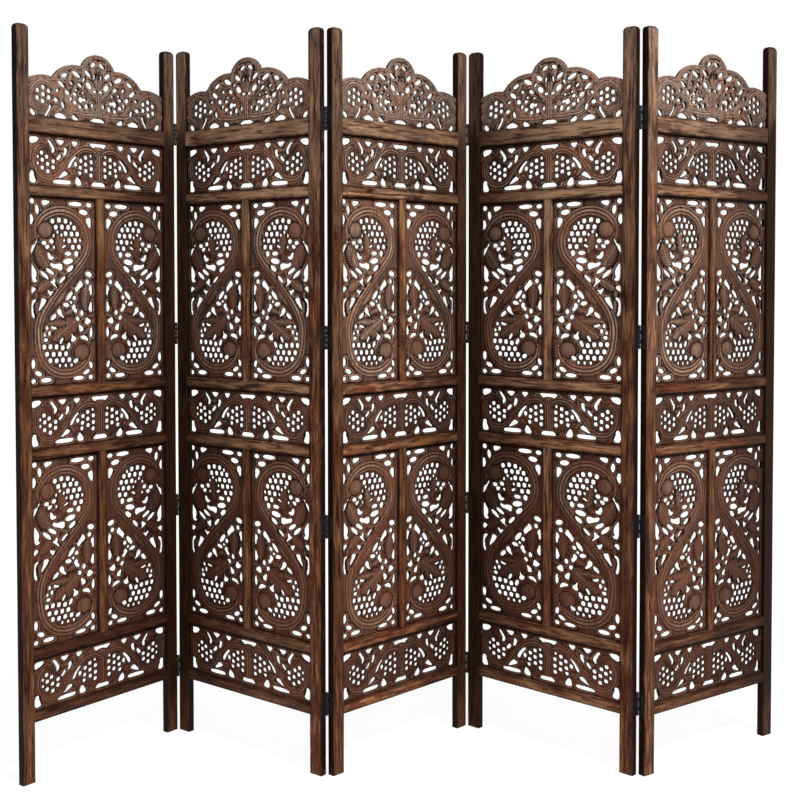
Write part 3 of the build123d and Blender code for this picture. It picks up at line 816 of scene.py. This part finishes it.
class Paint(Graph):
    """One material; place is Object coordinates turned into a panel's own u, depth and v."""

    def __init__(self, name, yaw=0.0):
        self.material = bpy.data.materials.new(name)
        self.material.use_nodes = True
        super().__init__(self.material.node_tree)
        self.coordinates = self.node("ShaderNodeTexCoord", out="Object")
        self.place = self.mapped({0: self.coordinates, "Rotation": (0, 0, math.radians(-yaw))})

    def mapped(self, inputs):
        return self.node("ShaderNodeMapping", {"vector_type": "POINT"}, inputs)

    def cloud(self, stretch, detail, rough=0.6, distort=0.0):
        """Noise in the panel's own directions, drawn out along the one with the lowest stretch."""
        sizes = {"Scale": 1.0, "Detail": detail, "Roughness": rough, "Distortion": distort}
        place = self.mapped({0: self.place, "Scale": stretch})
        return self.node("ShaderNodeTexNoise", None, {0: place, **sizes})

    def tone(self):
        return self.node("ShaderNodeAttribute", {"attribute_name": "tone"}, out="Fac")

    def mix(self, share, under, over):
        return self.node("ShaderNodeMix", {"data_type": "RGBA"}, {0: share, 6: under, 7: over}, out=2)

    def layers(self, colour, rows):
        """Colours laid one over another, each where a value goes from low to high, up to a share."""
        for value, low, high, share, over in rows:
            colour = self.mix(self.steps(value, low, high) * share, colour, over)
        return colour

    def finish(self, colour, roughness, height, distance, **fixed):
        bump = self.node("ShaderNodeBump", None, {"Height": height, "Distance": distance, "Strength": 1.0})
        inputs = {"Base Color": colour, "Roughness": roughness, "Normal": bump, **fixed}
        shader = self.node("ShaderNodeBsdfPrincipled", None, inputs)
        self.node("ShaderNodeOutputMaterial", None, {"Surface": shader})
        return self.material


# ---- finishes ----
DEEP_BROWN = (0.0085, 0.0028, 0.0016)
POST_BROWN = (0.082, 0.029, 0.013)
GREY_BROWN = (0.168, 0.082, 0.044)
PALE_BROWN = (0.335, 0.195, 0.112)
HONEY = (0.310, 0.146, 0.052)
RUBBED_BROWN = (0.390, 0.185, 0.084)
DUSTY_GREY = (0.230, 0.185, 0.150)
LIT_TOP_GREY = (0.155, 0.115, 0.088)
LOW_RED = (0.115, 0.030, 0.012)
RED_BROWN = (0.115, 0.026, 0.012)
RECESS_BLACK = (0.030, 0.013, 0.010)
HIGH_TAN = (0.290, 0.190, 0.130)
HIGH_RED = (0.190, 0.092, 0.058)
SMEAR_BROWN = (0.175, 0.110, 0.078)
STEEL_BLACK = (0.012, 0.011, 0.011)
STEEL_CHIP = (0.07, 0.05, 0.04)
WOOD_SPECULAR = {"Specular IOR Level": 0.06}
EVEN_LIGHT_HEIGHT = 0.9  # metres up the screen, where the painted light from above neither adds nor takes away rubbing


def lifted(colour, lift):
    return tuple(min(1.0, channel * lift) for channel in colour)


def shaded_side(paint, number):
    """From 0 at the side of a panel that stands forward to 1 at the side that stands back.

    It places painted shade, heavier at the side that stands back.
    """
    start = float(CORNERS[number] @ along(PANEL_YAWS[number])) * MM
    share = (paint.split(paint.place, "X") - start) * (1 / (PANEL_WIDTH * MM))
    return paint.steps(share if number % 2 == 0 else 1 - share, 0.25, 1.0)


def frame_wood(name, number, upright, honey_share, pale_share, stain_and_shade, top_fade=0.50,
               side_shade=0.0, side_fade=0.0, low_shade=0.0):
    """Stained posts and rails: long grain, honey patches where the stain is rubbed, darker edges, painted
    light higher up and painted shade on shaded faces and sides.
    """
    paint = Paint(name, PANEL_YAWS[number])

    def grain(across, up, sideways):
        return (across, across, up) if upright else (sideways, across, across)

    patch = paint.cloud(grain(11.0, 2.2, 3.0), 6.0, 0.66, 0.9)
    tint = paint.cloud((6.5, 6.5, 4.0), 5.0, 0.62)
    streak = paint.cloud(grain(75.0, 5.0, 6.5), 5.0, 0.62, 1.2)
    fibre = paint.cloud(grain(330.0, 22.0, 22.0), 3.0)
    blotch = paint.cloud(grain(70.0, 14.0, 13.0), 5.0, 0.68)
    speck = paint.cloud((300.0, 300.0, 300.0), 2.0, 0.5)
    mottle = paint.cloud(grain(120.0, 13.0, 12.0), 4.0, 0.65)
    shade_patches = paint.cloud((45.0, 45.0, 14.0), 4.0)
    height = paint.split(paint.coordinates, "Z")
    # the rubbing shows more higher up: painted light from above
    rubbed_and_lit = blotch + (height - EVEN_LIGHT_HEIGHT) * 0.05
    colour = paint.mix(paint.steps(tint, 0.40, 0.60), POST_BROWN, GREY_BROWN)
    colour = paint.layers(colour, (
        (rubbed_and_lit, 0.62 - pale_share, 0.80 - pale_share, 0.85, PALE_BROWN),
        (patch, 0.66 - honey_share, 0.78 - honey_share, 0.9, HONEY),
        (1 - tint, 0.50, 0.68, 0.7, RED_BROWN),
        # painted light from above: greyer and lighter higher up
        (height, 1.20, 1.80, 0.50, LIT_TOP_GREY),
        (height, 1.35, 0.50, 0.55, LOW_RED),
        (streak, 0.50, 0.33, 0.9, DEEP_BROWN),
        (fibre, 0.50, 0.32, 0.6, DEEP_BROWN),
        (speck, 0.60, 0.74, 0.3, PALE_BROWN),
        (mottle, 0.52, 0.68, 0.55, RUBBED_BROWN),
        (mottle, 0.49, 0.34, 0.75, DEEP_BROWN),
    ))
    # dark stain, and on the posts painted shade, less of it at the top and the foot
    ends = paint.steps(height, 1.56, 1.68) * top_fade + paint.steps(height, 0.16, 0.02) * 0.25
    colour = paint.mix((1 - ends) * stain_and_shade, colour, DEEP_BROWN)
    # painted shade towards the side that stands back, less of it higher up by the side fade
    if side_shade:
        spread = paint.steps(height, 1.35, 1.60) * -side_fade + 1
        colour = paint.mix(shaded_side(paint, number) * spread * side_shade, colour, DEEP_BROWN)
    # painted shade low down on the rails
    if low_shade:
        colour = paint.mix(paint.steps(height, 0.50, 0.30) * low_shade, colour, DEEP_BROWN)
    # the tone's painted shade on the shaded faces and the darker edges, patchy
    shade = paint.tone()
    colour = paint.mix(shade * (paint.steps(shade_patches, 0.30, 0.62) * 0.5 + 0.32), colour, DEEP_BROWN)
    grain_height = streak * 0.8 + fibre * 0.7 + speck * 0.3
    return paint.finish(colour, streak * 0.25 + 0.40, grain_height, 0.0009, **WOOD_SPECULAR)


def carved_wood(name, number, lift, side_shade, low_shade, dust):
    """Carved boards: red and black recesses under stain and painted shade, rubbed grey-brown high parts with
    painted highlight, painted shadow at the edges of the openings.
    """
    paint = Paint(name, PANEL_YAWS[number])
    tone = paint.tone()
    cloud = paint.cloud((8.0, 8.0, 8.0), 5.0, 0.62)
    smear = paint.cloud((55.0, 55.0, 38.0), 4.0)
    fibre = paint.cloud((260.0, 260.0, 20.0), 4.0)
    speck = paint.cloud((340.0, 340.0, 340.0), 2.0, 0.5)
    height = paint.split(paint.coordinates, "Z")
    # lift makes each panel's boards lighter or darker: painted light and shade
    warm = lifted(WARMTHS[number], 0.74 * lift)
    ground = paint.mix(paint.steps(cloud, 0.42, 0.62), lifted(RECESS_BLACK, lift), warm)
    high = paint.mix(paint.steps(cloud, 0.38, 0.60), lifted(HIGH_TAN, lift), lifted(HIGH_RED, lift))
    high = paint.layers(high, ((smear, 0.44, 0.60, 0.7, lifted(SMEAR_BROWN, lift)),))
    # the tone gives the recesses stain and painted shade, down to deep brown, and the high parts wear and
    # painted highlight
    colour = paint.mix(paint.steps(tone, 0.02, 0.48), ground, high)
    colour = paint.layers(colour, (
        (smear, 0.30, 0.60, dust, DUSTY_GREY),
        (height, 1.15, 0.45, 0.36, lifted(LOW_RED, lift)),
        (tone, 0.04, -0.16, 0.92, DEEP_BROWN),
        (fibre, 0.50, 0.34, 0.55, DEEP_BROWN),
        (speck, 0.60, 0.75, 0.3, GREY_BROWN),
    ))
    # painted shade towards the side that stands back
    colour = paint.mix(shaded_side(paint, number) * side_shade, colour, DEEP_BROWN)
    # painted shade on the boards below about 1.2 m
    colour = paint.layers(colour, ((height, 1.50, 1.20, low_shade, DEEP_BROWN),))
    grain_height = fibre + smear * 0.8 + speck * 0.4
    return paint.finish(colour, fibre * 0.25 + 0.42, grain_height, 0.0006, **WOOD_SPECULAR)


def black_steel():
    paint = Paint("hinge_black")
    chips = paint.cloud((900.0, 900.0, 900.0), 3.0)
    colour = paint.mix(paint.steps(chips, 0.62, 0.72), STEEL_BLACK, STEEL_CHIP)
    return paint.finish(colour, chips * 0.3 + 0.3, chips, 0.0001, Metallic=0.6)


# ---- hinges ----
class Tree(Graph):
    """A Geometry Nodes group that sets a form on every point; its sizes and finish are inputs."""

    def __init__(self, name, sizes):
        super().__init__(bpy.data.node_groups.new(name, "GeometryNodeTree"))
        face = self.tree.interface
        face.new_socket("Geometry", in_out="INPUT", socket_type="NodeSocketGeometry")
        face.new_socket("Geometry", in_out="OUTPUT", socket_type="NodeSocketGeometry")
        kinds = {size: "NodeSocketFloat" for size in sizes} | {"Finish": "NodeSocketMaterial"}
        self.keys = {
            label: face.new_socket(label, in_out="INPUT", socket_type=kind).identifier
            for label, kind in kinds.items()
        }

    def value(self, label):
        return self.node("NodeGroupInput", out=label)

    def repeat(self, form, **turn):
        """Close the tree with the form on every point, made real and given its finish."""
        row = self.node("GeometryNodeInstanceOnPoints", None,
                        {"Points": self.value("Geometry"), "Instance": form, **turn})
        real = self.node("GeometryNodeRealizeInstances", None, {0: row})
        done = self.node("GeometryNodeSetMaterial", None, {0: real, "Material": self.value("Finish")})
        self.node("NodeGroupOutput", None, {0: done})

    def grow(self, points, facings, values):
        """The tree run on bare points with a facing each, as a plain mesh."""
        seed = bpy.data.meshes.new("seed")
        seed.from_pydata(points, [], [])
        facing = seed.attributes.new("facing", "FLOAT_VECTOR", "POINT")
        facing.data.foreach_set("vector", np.asarray(facings, np.float32).ravel())
        holder = show("seed", seed)
        modifier = holder.modifiers.new("grow", "NODES")
        modifier.node_group = self.tree
        for label, value in values.items():
            modifier[self.keys[label]] = value
        graph = bpy.context.evaluated_depsgraph_get()
        mesh = bpy.data.meshes.new_from_object(holder.evaluated_get(graph))
        bpy.data.objects.remove(holder)
        return mesh


def knuckle_tree():
    """A barrel on every point, its ends eased in."""
    tree = Tree("hinge_knuckles", ("Radius", "Height", "Easing"))
    sizes = {"Radius": tree.value("Radius"), "Depth": tree.value("Height")}
    barrel = tree.node("GeometryNodeMeshCylinder", None, {"Vertices": 20, "Side Segments": 12, **sizes})
    place = tree.node("GeometryNodeInputPosition")
    far = abs(tree.split(place, "Z") / tree.value("Height")) * 2.0
    keep = 1 - far ** 16.0 * tree.value("Easing")
    scale = tree.node("ShaderNodeCombineXYZ", None, {0: keep, 1: keep, 2: 1.0})
    moved = tree.node("ShaderNodeVectorMath", {"operation": "MULTIPLY"}, {0: place, 1: scale})
    eased = tree.node("GeometryNodeSetPosition", None, {"Geometry": barrel, "Position": moved})
    tree.repeat(tree.node("GeometryNodeSetShadeSmooth", None, {"Geometry": eased}))
    return tree


def screw_tree():
    """A low domed head on every point, facing the way the point says."""
    tree = Tree("hinge_screws", ("Head Radius", "Rise"))
    radius = tree.value("Head Radius")
    ball = tree.node("GeometryNodeMeshUVSphere", None, {"Segments": 14, "Rings": 6, "Radius": radius})
    scale = tree.node("ShaderNodeCombineXYZ", None, {0: 1.0, 1: 1.0, 2: tree.value("Rise") / radius})
    dome = tree.node("GeometryNodeTransform", None, {"Geometry": ball, "Scale": scale})
    facing = tree.node("GeometryNodeInputNamedAttribute", {"data_type": "FLOAT_VECTOR"}, {"Name": "facing"})
    turn = tree.node("FunctionNodeAlignRotationToVector", {"axis": "Z"}, {"Vector": facing})
    tree.repeat(dome, Rotation=turn)
    return tree


def plate(low, high):
    """A plate between two corners, with the edges that run up it eased."""
    (x0, y0, z0), (x1, y1, z1) = low, high
    e = LEAF_EDGE
    ring = [(x0 + e, z0), (x1 - e, z0), (x1, z0 + e), (x1, z1 - e),
            (x1 - e, z1), (x0 + e, z1), (x0, z1 - e), (x0, z0 + e)]
    points = [(x, y, z) for y in (y0, y1) for x, z in ring]
    n = len(ring)
    faces = [(i, i + n, (i + 1) % n + n, (i + 1) % n) for i in range(n)]
    faces += [tuple(range(n)), tuple(range(n, 2 * n))[::-1]]
    return points, faces, np.zeros(2 * n)


def joined(meshes):
    """The first mesh with the others added to it."""
    holders = [show("part", mesh) for mesh in meshes]
    chosen = {"active_object": holders[0], "selected_editable_objects": holders, "selected_objects": holders}
    with bpy.context.temp_override(**chosen):
        bpy.ops.object.join()
    mesh = holders[0].data
    bpy.data.objects.remove(holders[0])
    return mesh


def hinge_side(joint, side, knuckles, screws, steel):
    """Leaves, knuckles and screw heads of one panel's half of a joint's four hinges."""
    panel, first, inward = (joint, 0, -1) if side == "left" else (joint + 1, 1, 1)
    yaw = PANEL_YAWS[panel]
    back = -1 if joint % 2 == 0 else 1  # from the pin towards the panel's body, in w
    leaf_start = PIN_STANDOFF + LEAF_SETBACK
    low_w, high_w = sorted((back * leaf_start, back * (leaf_start + LEAF_DEPTH)))
    low_wrap, high_wrap = sorted((0.0, back * (leaf_start + WRAP_LAP)))
    face_u = inward * HINGE_GAP / 2
    inner_u = face_u - inward * LEAF_THICKNESS
    low_u, high_u = sorted((face_u, inner_u))
    pitch = HINGE_HEIGHT / KNUCKLE_COUNT
    tall = pitch - KNUCKLE_PLAY
    plates, barrels, heads = [], [], []
    for centre in HINGE_CENTRES:
        foot = centre - HINGE_HEIGHT / 2
        plates.append(plate((low_u, foot, low_w), (high_u, foot + HINGE_HEIGHT, high_w)))
        for k in range(first, KNUCKLE_COUNT, 2):
            low = foot + k * pitch + KNUCKLE_PLAY / 2
            plates.append(plate((low_u, low, low_wrap), (high_u, low + tall, high_wrap)))
            barrels.append((0.0, low + tall / 2, 0.0))
        for k in range(SCREWS_PER_LEAF):
            height = foot + HINGE_HEIGHT * (1 + 2 * k) / (2 * SCREWS_PER_LEAF)
            heads.append((inner_u, height, back * (leaf_start + LEAF_DEPTH * SCREW_DEPTHS[k % 2])))
    label = f"hinge_{joint + 1}_{joint + 2}_{side}"
    plate_mesh = gathered(label, plates, PINS[joint], yaw)
    plate_mesh.materials.append(steel)
    barrel = {"Radius": KNUCKLE_RADIUS * MM, "Height": tall * MM, "Easing": KNUCKLE_EASING, "Finish": steel}
    places = placed(barrels, PINS[joint], yaw).tolist()
    barrel_mesh = knuckles.grow(places, [(0, 0, 1)] * len(barrels), barrel)
    head = {"Head Radius": SCREW_RADIUS * MM, "Rise": SCREW_RISE * MM, "Finish": steel}
    places = placed(heads, PINS[joint], yaw).tolist()
    head_mesh = screws.grow(places, [(*(-inward * along(yaw)), 0)] * len(heads), head)
    mesh = joined([plate_mesh, barrel_mesh, head_mesh])
    finish_piece(mesh, f"panel_{panel + 1}", f"{label}_leaves")


PIN_SIDES = 14
PIN_END = 0.5  # how far the middle of a pin's end stands past the knuckles
# radius and level of each ring, from the hinge's foot up
PIN_PROFILE = (
    (1.6, -0.4), (PIN_HEAD, 0.0), (PIN_RADIUS, 0.6),
    (PIN_RADIUS, HINGE_HEIGHT - 0.6), (PIN_HEAD, HINGE_HEIGHT), (1.6, HINGE_HEIGHT + 0.4),
)


def pin(centre):
    """One pin with low domed ends, turned from its profile."""
    foot = centre - HINGE_HEIGHT / 2
    points = [(0, foot - PIN_END, 0)]
    for radius, level in PIN_PROFILE:
        angles = np.arange(PIN_SIDES) * 2 * math.pi / PIN_SIDES
        points += [(radius * math.cos(a), foot + level, radius * math.sin(a)) for a in angles]
    points.append((0, foot + HINGE_HEIGHT + PIN_END, 0))
    last = (len(PIN_PROFILE) - 1) * PIN_SIDES
    faces = []
    for i in range(1, PIN_SIDES + 1):
        j = i % PIN_SIDES + 1
        sides = [(k + i, k + PIN_SIDES + i, k + PIN_SIDES + j, k + j) for k in range(0, last, PIN_SIDES)]
        faces += [(0, i, j), *sides, (last + i, len(points) - 1, last + j)]
    return points, faces, np.zeros(len(points))


def hinge_pins(joint, steel):
    label = f"hinge_{joint + 1}_{joint + 2}_pin"
    mesh = gathered(f"{label}_set", [pin(centre) for centre in HINGE_CENTRES], PINS[joint], PANEL_YAWS[joint])
    mesh.materials.append(steel)
    finish_piece(mesh, f"panel_{joint + 1}", f"{label}s")


# ---- how each panel is stained, and the light and shade painted on it ----
# the brown of each panel's carved ground
WARMTHS = (
    (0.125, 0.050, 0.030),
    (0.115, 0.048, 0.031),
    (0.122, 0.056, 0.035),
    (0.125, 0.048, 0.029),
    (0.112, 0.053, 0.034),
)
# each kind of board: the painted shade at the side that stands back, the painted shade on the lower ones, the
# dust
BOARD_KINDS = {
    "upper": (0.62, 0.0, 0.0),
    "lower": (0.72, 0.0, 0.0),
    "band": (0.64, 0.32, 0.0),
    "crest": (0.42, 0.0, 0.34),
}
# how much lighter or darker each panel's boards are made, as painted light and shade, in the same order
LIGHT_LIFTS = (
    (0.84, 0.76, 1.03, 1.18),
    (1.24, 0.90, 1.47, 2.0),
    (1.0, 0.86, 0.86, 1.12),
    (1.17, 0.80, 1.34, 1.95),
    (0.92, 0.80, 0.85, 1.22),
)
# painted shade on the rails and muntins at the side that stands back
FRAME_SIDE_SHADE = 0.72
# how much honey shows through: each panel's own share, and what its rails, muntins and posts add
HONEY_SHARES = (0.10, 0.07, 0.12, 0.05, 0.10)
RAIL_HONEY, MUNTIN_HONEY, POST_HONEY = 0.03, 0.10, -0.04
# how rubbed each panel's rails and muntins are, and how darkly stained
RAIL_LOOKS = ((0.08, 0.34), (0.34, 0.0), (0.13, 0.06), (0.28, 0.0), (0.12, 0.20))
MUNTIN_LOOKS = ((0.0, 0.45), (0.16, 0.0), (0.0, 0.26), (0.30, 0.0), (0.04, 0.26))
# how much of the painted side shade the upper rails lack, and the extra painted shade on the lowest rails
RAIL_SIDE_FADES = (0.0, 0.85, 0.35, -0.15, 0.1)
RAIL_LOW_SHADES = (0.36, 0.42, 0.0, 0.0, 0.30)
# how rubbed each post is, how dark its stain and painted shade are, and how much less of them its top has
POST_LOOKS = {
    (0, "left"): (0.04, 0.46, -0.15), (0, "right"): (-0.02, 0.96, 0.40), (1, "left"): (-0.02, 0.89, 1.0),
    (1, "right"): (0.04, 0.10, 1.0), (2, "left"): (0.06, 0.52, 0.05), (2, "right"): (0.00, 0.86, 0.45),
    (3, "left"): (-0.04, 0.93, 0.22), (3, "right"): (0.04, 0.36, 0.9), (4, "left"): (0.10, 0.34, 0.6),
    (4, "right"): (0.00, 0.96, 0.3),
}

# ---- make the panels ----
rng = np.random.default_rng(SEED)
last_panel = len(PANEL_YAWS) - 1

for number in range(len(PANEL_YAWS)):
    honey = HONEY_SHARES[number]
    for side, u, outer in (("left", STILE_WIDTH / 2, -1), ("right", PANEL_WIDTH - STILE_WIDTH / 2, 1)):
        at_end = (number, side) in ((0, "left"), (last_panel, "right"))
        look = POST_LOOKS[(number, side)]
        wood = frame_wood(f"post_wood_{number + 1}_{side}", number, True, honey + POST_HONEY, *look)
        form = post(u, 0.0 if at_end else outer * POST_PROUD, rng)
        wooden_piece(number, f"{side}_post", f"{side}_stile", wood, [form])

    wood = frame_wood(f"rail_wood_{number + 1}", number, False, honey + RAIL_HONEY, *RAIL_LOOKS[number],
                      side_shade=FRAME_SIDE_SHADE, side_fade=RAIL_SIDE_FADES[number],
                      low_shade=RAIL_LOW_SHADES[number])
    forms = [rail(level, height, rng) for level, height in zip(RAIL_LEVELS, RAIL_HEIGHTS)]
    wooden_piece(number, "rail_set", "rails", wood, forms)

    wood = frame_wood(f"muntin_wood_{number + 1}", number, True, honey + MUNTIN_HONEY,
                      *MUNTIN_LOOKS[number], side_shade=FRAME_SIDE_SHADE)
    forms = [muntin(level, rng) for level in TALL_LEVELS.values()]
    wooden_piece(number, "muntin_set", "muntins", wood, forms)

    boards = {
        kind: carved_wood(f"{kind}_wood_{number + 1}", number, lift, *look)
        for (kind, look), lift in zip(BOARD_KINDS.items(), LIGHT_LIFTS[number])
    }
    middle = PANEL_WIDTH / 2
    apart = (MUNTIN_WIDTH + TALL_WIDTH) / 2
    for label, level in TALL_LEVELS.items():
        height = level + TALL_OPENING / 2
        forms = [set_board(tall_board, middle + side * apart, height, side < 0) for side in (-1, 1)]
        wooden_piece(number, f"{label}_jali", f"{label}_scroll_boards", boards[label], forms)
    forms = [set_board(band_board, middle, level + BAND_OPENING / 2) for level in BAND_LEVELS]
    wooden_piece(number, "band_jali", "band_boards", boards["band"], forms)
    forms = [set_board(crest_board, middle, CREST_LEVEL)]
    wooden_piece(number, "crest_jali", "crest_board", boards["crest"], forms)

steel = black_steel()
knuckles, screws = knuckle_tree(), screw_tree()
for joint in range(len(PINS)):
    hinge_side(joint, "left", knuckles, screws, steel)
    hinge_side(joint, "right", knuckles, screws, steel)
    hinge_pins(joint, steel)

# ---- stage, light and camera ----
WHITE = (1, 1, 1)
FLOOR_GREY = (0.8, 0.8, 0.8)
FLOOR_REACH = 40.0
FLOOR_GLOW = 1.08
SKY_LIGHT = 0.30


def floor_material():
    """White to camera, glossy and transmission rays, less so near the screen; matt to the rest."""
    material = bpy.data.materials.new("pale_floor")
    material.use_nodes = True
    paint = Graph(material.node_tree)
    seen = paint.ray("Camera") + paint.ray("Glossy") + paint.ray("Transmission")
    matt = paint.node("ShaderNodeBsdfDiffuse", None, {"Color": FLOOR_GREY})
    white = paint.node("ShaderNodeEmission", None, {"Color": WHITE, "Strength": FLOOR_GLOW})
    place = paint.node("ShaderNodeTexCoord", out="Object")
    away = paint.node("ShaderNodeVectorMath", {"operation": "LENGTH"}, {0: place}, out="Value")
    share = seen * (paint.steps(away, 1.2, 2.6) * 0.18 + 0.82)
    blend = paint.node("ShaderNodeMixShader", None, {0: share, 1: matt, 2: white})
    paint.node("ShaderNodeOutputMaterial", None, {"Surface": blend})
    return material


corners = [(-FLOOR_REACH, -FLOOR_REACH, 0), (FLOOR_REACH, -FLOOR_REACH, 0),
           (FLOOR_REACH, FLOOR_REACH, 0), (-FLOOR_REACH, FLOOR_REACH, 0)]
floor_mesh = bpy.data.meshes.new("floor")
floor_mesh.from_pydata(corners, [], [(0, 1, 2, 3)])
floor_mesh.materials.append(floor_material())
show("floor", floor_mesh)

world = bpy.data.worlds.new("studio")
bpy.context.scene.world = world
world.use_nodes = True
sky = Graph(world.node_tree)
camera_ray, clear_ray = sky.ray("Camera"), sky.ray("Transmission")
shown = sky.node("ShaderNodeMath", {"operation": "MAXIMUM"}, {0: camera_ray, 1: clear_ray})
soft = sky.node("ShaderNodeBackground", None, {"Color": WHITE, "Strength": SKY_LIGHT})
white = sky.node("ShaderNodeBackground", None, {"Color": WHITE, "Strength": 1.0})
blend = sky.node("ShaderNodeMixShader", None, {0: shown, 1: soft, 2: white})
sky.node("ShaderNodeOutputWorld", None, {"Surface": blend})


def soft_lamp(name, place, target, size, power):
    """A round lamp; metres and watts."""
    lamp = bpy.data.lights.new(name, "AREA")
    lamp.shape = "DISK"
    lamp.size = size
    lamp.energy = power
    holder = show(name, lamp)
    holder.location = place
    holder.rotation_euler = (Vector(target) - Vector(place)).to_track_quat("-Z", "Y").to_euler()


soft_lamp("key", (1.9, -2.8, 4.7), (0, 0, 1.1), 1.1, 480)
soft_lamp("fill", (-3.0, -4.4, 2.6), (0, 0, 0.9), 2.4, 60)
soft_lamp("back", (0.5, 4.2, 3.8), (0, 0, 0.9), 2.6, 130)

# the focal length and the shift of the framing are in pixels of the square frame
FRAME_PIXELS = 800
FOCAL = 1247.3
SHIFT = (76.6, -73.5)
SENSOR_WIDTH = 36.0
CAMERA_PLACE = (-0.2396, -3.1827, 1.2019)
CAMERA_YAW, CAMERA_PITCH, CAMERA_ROLL = -0.0031, 0.0317, 0.0025
camera_data = bpy.data.cameras.new("camera")
camera_data.sensor_width = SENSOR_WIDTH
camera_data.lens = FOCAL / FRAME_PIXELS * SENSOR_WIDTH
camera_data.shift_x, camera_data.shift_y = (pixels / FRAME_PIXELS for pixels in SHIFT)
camera_data.clip_end = 200
camera = show("camera", camera_data)
camera.location = CAMERA_PLACE
camera.rotation_mode = "XYZ"
camera.rotation_euler = (math.pi / 2 - CAMERA_PITCH, CAMERA_ROLL, CAMERA_YAW)
bpy.context.scene.camera = camera

bpy.context.scene.view_settings.view_transform = "Standard"

bpy.context.view_layer.update()
